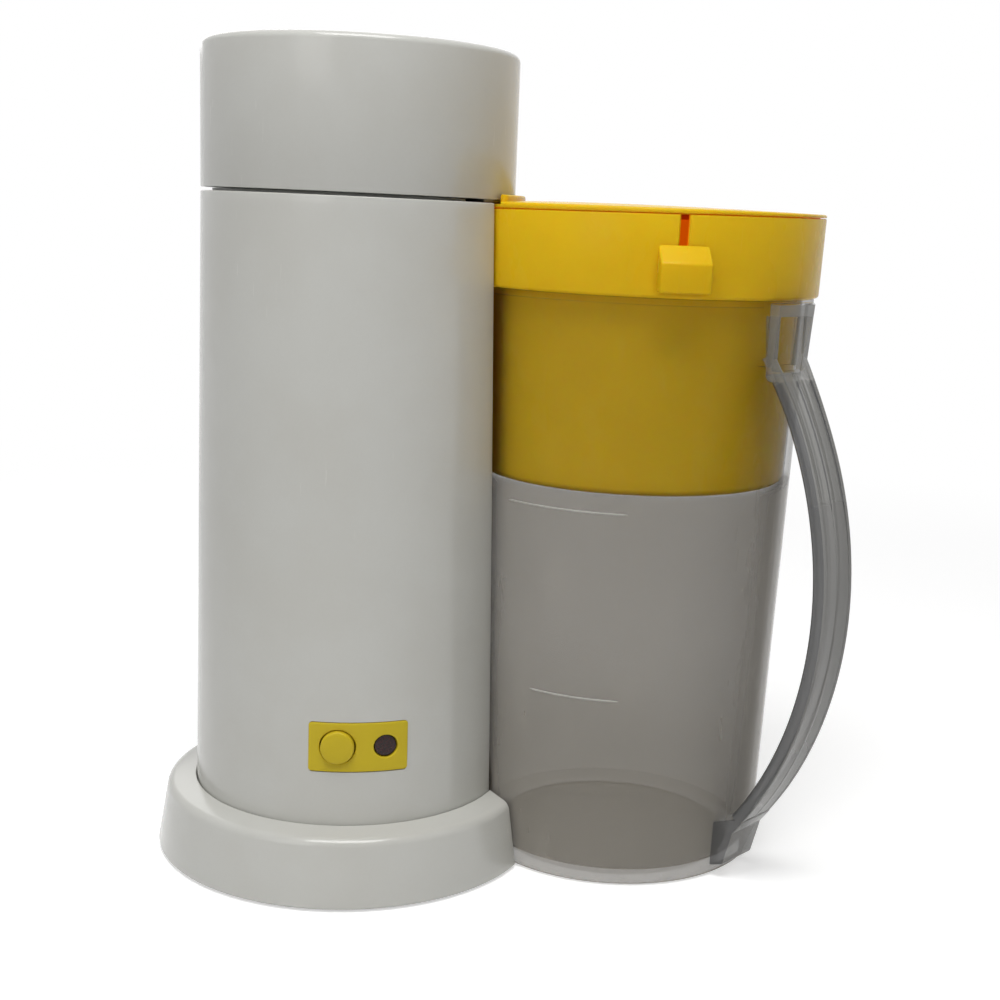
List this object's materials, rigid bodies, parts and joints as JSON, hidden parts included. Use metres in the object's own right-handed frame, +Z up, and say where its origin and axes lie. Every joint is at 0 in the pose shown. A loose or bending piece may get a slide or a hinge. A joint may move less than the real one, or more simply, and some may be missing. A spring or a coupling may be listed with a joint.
{
  "type": "iced tea maker",
  "caption": "Countertop iced tea brewer: a round tower with a hinged head and flared foot, and a clear handled pitcher with a brewing basket docked in its hollow side.",
  "frame": {"origin": "middle of the bounding box's underside, on the table", "axes": "+Z up; +X from the tower's axis to the pitcher's axis; the controls, the slider and the handle face -Y"},
  "size_m": [0.2652, 0.1632, 0.32],
  "materials": {
    "tower_shell": "off-white, glossy",
    "base_skirt": "off-white, glossy",
    "bottom_cover": "black, matt",
    "foot_1": "black, matt",
    "foot_2": "black, matt",
    "foot_3": "black, matt",
    "foot_4": "black, matt",
    "cover_screw_1": "bare steel",
    "cover_screw_2": "bare steel",
    "cover_screw_3": "bare steel",
    "cover_screw_4": "bare steel",
    "cord_gland": "black, matt",
    "control_panel": "amber yellow, glossy, slightly translucent",
    "brew_switch": "black, matt",
    "indicator_lens": "dark red, glossy",
    "indicator_lamp": "small clear bulb",
    "lid_hinge_pin": "bare steel",
    "reservoir_tank": "white, matt",
    "outlet_spout": "white, matt",
    "riser_tube": "pale silicone",
    "tank_hose": "pale silicone",
    "check_valve": "pale silicone",
    "feed_hose": "pale silicone",
    "hot_hose": "pale silicone",
    "boiler_heater": "cast aluminium tube",
    "thermostat": "bare steel",
    "thermal_fuse": "bare steel",
    "reservoir_lid": "off-white, glossy",
    "brew_button": "amber yellow, glossy, slightly translucent",
    "switch_plunger": "white, matt",
    "pitcher_jug": "clear moulded plastic, faint grey",
    "brew_basket": "amber yellow, glossy, slightly translucent",
    "pitcher_lid": "amber yellow, glossy, slightly translucent",
    "strength_gate": "amber yellow, glossy, slightly translucent"
  },
  "bodies": {
    "tower": {"tower_shell": "tower_shell", "base_skirt": "base_skirt", "bottom_cover": "bottom_cover", "foot_1": "foot_1", "foot_2": "foot_2", "foot_3": "foot_3", "foot_4": "foot_4", "cover_screw_1": "cover_screw_1", "cover_screw_2": "cover_screw_2", "cover_screw_3": "cover_screw_3", "cover_screw_4": "cover_screw_4", "cord_gland": "cord_gland", "control_panel": "control_panel", "brew_switch": "brew_switch", "indicator_lens": "indicator_lens", "indicator_lamp": "indicator_lamp", "lid_hinge_pin": "lid_hinge_pin", "reservoir_tank": "reservoir_tank", "outlet_spout": "outlet_spout", "riser_tube": "riser_tube", "tank_hose": "tank_hose", "check_valve": "check_valve", "feed_hose": "feed_hose", "hot_hose": "hot_hose", "boiler_heater": "boiler_heater", "thermostat": "thermostat", "thermal_fuse": "thermal_fuse"},
    "head": {"reservoir_lid": "reservoir_lid"},
    "button": {"brew_button": "brew_button", "switch_plunger": "switch_plunger"},
    "pitcher": {"pitcher_jug": "pitcher_jug", "brew_basket": "brew_basket", "pitcher_lid": "pitcher_lid"},
    "strength": {"strength_gate": "strength_gate"}
  },
  "joints": [
    {"name": "head_hinge", "type": "hinge", "parent": "tower", "child": "head", "pos_m": [-0.05452, 0.06753, 0.268], "axis": [-1, 0, 0], "range_deg": [0, 95]},
    {"name": "button_press", "type": "slide", "parent": "tower", "child": "button", "axis": [0.1011, 0.9949, 0], "range_m": [0, 0.0015], "stiffness_N_per_m": 400},
    {"name": "pitcher_undock", "type": "slide", "parent": "tower", "child": "pitcher", "axis": [1, 0, 0], "range_m": [0, 0.15]},
    {"name": "strength_slide", "type": "slide", "parent": "pitcher", "child": "strength", "axis": [0, 0, 1], "range_m": [0, 0.012]}
  ]
}
